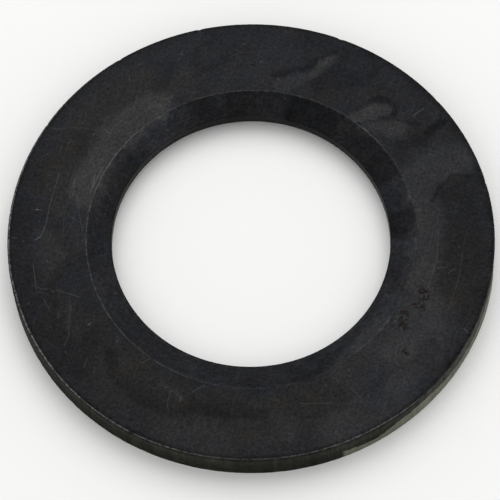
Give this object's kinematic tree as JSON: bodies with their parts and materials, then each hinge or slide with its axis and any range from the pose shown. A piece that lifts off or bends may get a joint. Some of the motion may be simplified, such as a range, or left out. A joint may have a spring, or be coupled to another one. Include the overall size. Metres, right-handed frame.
{
  "type": "flat washer",
  "caption": "Heavy flat steel washer with a wide bore countersunk on both faces, dark oxide finish with scratches and stains.",
  "frame": {"origin": "centre of the bore in the plane of the lower face, which the washer rests on", "axes": "+Z along the bore axis, out of the rolled-over upper face"},
  "size_m": [0.075, 0.075, 0.005],
  "materials": {
    "blackened_steel": "satin"
  },
  "bodies": {
    "root": {"washer": "blackened_steel"}
  },
  "joints": []
}
